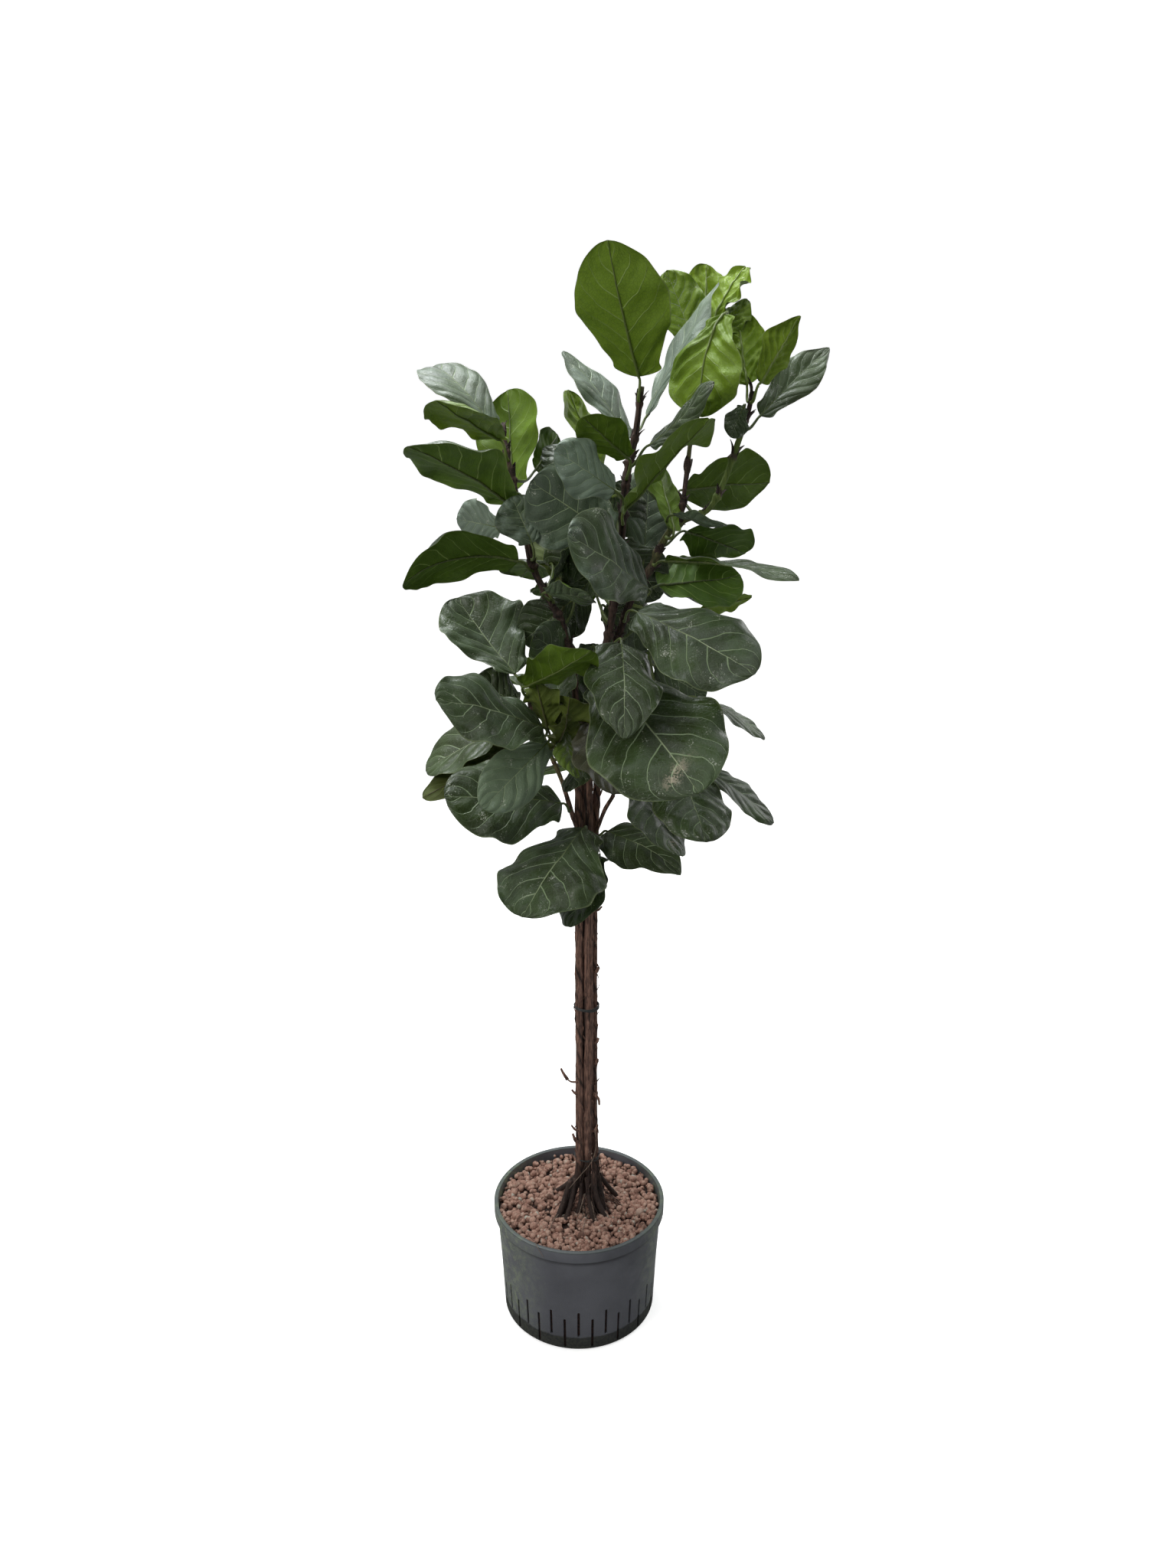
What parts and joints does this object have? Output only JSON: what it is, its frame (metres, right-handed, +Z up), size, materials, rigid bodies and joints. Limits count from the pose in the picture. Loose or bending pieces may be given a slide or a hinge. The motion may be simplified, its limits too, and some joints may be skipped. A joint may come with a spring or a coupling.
{
  "type": "potted fiddle leaf fig",
  "caption": "Fiddle leaf fig with bundled bark-covered stems and large veined leaves, growing in expanded clay in a slotted grey culture pot.",
  "frame": {"origin": "centre of the pot's flat underside, where it stands on the floor", "axes": "+Z up along the stems, -Y towards the front of the plant, +X to the right seen from the front"},
  "size_m": [0.5854, 0.4365, 1.6352],
  "materials": {
    "pot": "bluish grey moulded plastic, dusty and stained green",
    "clay": "matte fired expanded clay, reddish brown",
    "bark": "rough brown bark",
    "tie": "coated garden wire",
    "leaf": "waxy dark green blade with pale veins",
    "young_leaf": "waxy bright green young blade"
  },
  "bodies": {
    "root": {"pot": "pot", "clay_pebbles": "clay", "stem_left": "bark", "stem_middle": "bark", "stem_right": "bark", "tie_low": "tie", "tie_middle": "tie", "tie_high": "tie", "leaf_top": "leaf", "leaf_top_behind": "leaf", "leaf_crown_left": "leaf", "leaf_crown_yellow": "young_leaf", "leaf_crown_small": "leaf", "leaf_crown_curled": "leaf", "leaf_crown_pale": "leaf", "leaf_crown_twisted": "leaf", "leaf_centre_sheen": "leaf", "leaf_centre_big": "leaf", "leaf_front_hanging": "leaf", "leaf_front_low_big": "leaf", "leaf_young_broad": "young_leaf", "leaf_young_left": "young_leaf", "leaf_young_back": "young_leaf", "leaf_young_right": "young_leaf", "leaf_tip_right": "young_leaf", "leaf_tip_left": "young_leaf", "leaf_tip_outer": "leaf", "leaf_branch_back": "leaf", "leaf_branch_inner": "leaf", "leaf_branch_folded": "leaf", "leaf_branch_green": "leaf", "leaf_right_long": "leaf", "leaf_right_under": "leaf", "leaf_right_big": "leaf", "leaf_right_narrow": "leaf", "leaf_right_low": "leaf", "leaf_right_glossy": "leaf", "leaf_right_dark": "leaf", "leaf_right_curled": "leaf", "leaf_left_top": "leaf", "leaf_left_flat": "leaf", "leaf_left_upright": "leaf", "leaf_left_long": "leaf", "leaf_left_inner": "leaf", "leaf_left_arched": "leaf", "leaf_left_brown": "leaf", "leaf_left_cupped": "leaf", "leaf_left_bright": "leaf", "leaf_left_shadow": "leaf", "leaf_left_wide": "leaf", "leaf_left_olive": "leaf", "leaf_left_folded": "leaf", "leaf_left_low_big": "leaf", "leaf_stem_brown": "leaf", "leaf_front_low": "leaf", "leaf_front_low_behind": "leaf", "leaf_back_high": "leaf", "leaf_back_middle": "leaf", "leaf_back_low": "leaf"}
  },
  "joints": []
}
